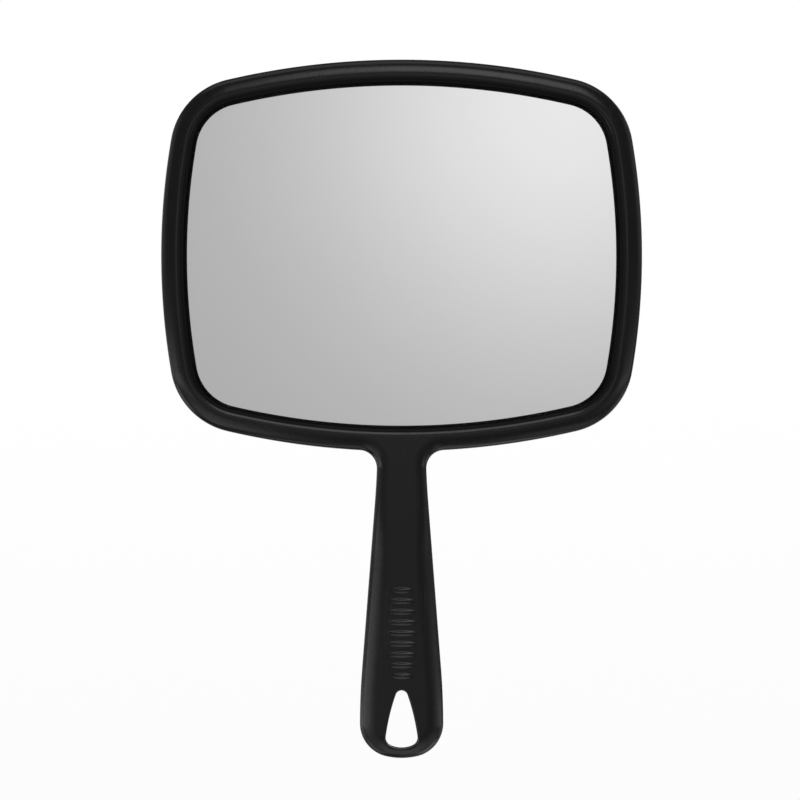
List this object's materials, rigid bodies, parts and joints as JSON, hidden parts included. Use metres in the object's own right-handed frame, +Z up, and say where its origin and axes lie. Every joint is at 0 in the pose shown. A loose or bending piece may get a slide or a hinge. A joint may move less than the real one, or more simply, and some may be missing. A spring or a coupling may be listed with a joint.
{
  "type": "hand mirror",
  "caption": "Flat hand mirror with a wide rounded-rectangular glass in a black moulded rim and a flared paddle handle with a teardrop hang hole.",
  "frame": {"origin": "centre of the handle's grip, halfway along the handle, on the plane where the two shells meet", "axes": "+Z up the handle to the head, -Y out of the reflecting face, +X to the right as one looks into the mirror"},
  "size_m": [0.18, 0.0114, 0.2614],
  "materials": {
    "front_plastic": "black ABS, semi-gloss",
    "rear_plastic": "black ABS, satin, with a fine-grained panel",
    "clear_glass": "clear float glass, polished",
    "silver": "bright silver seen through the glass",
    "backing_paint": "grey-blue protective paint, matte",
    "adhesive": "pressure-sensitive acrylic film, cloudy",
    "foam": "closed-cell polyethylene foam, matte"
  },
  "bodies": {
    "root": {"front_frame": "front_plastic", "rear_shell": "rear_plastic", "mirror_glass": "clear_glass", "silver_coating": "silver", "back_paint": "backing_paint", "adhesive_film": "adhesive", "foam_pad": "foam"}
  },
  "joints": []
}
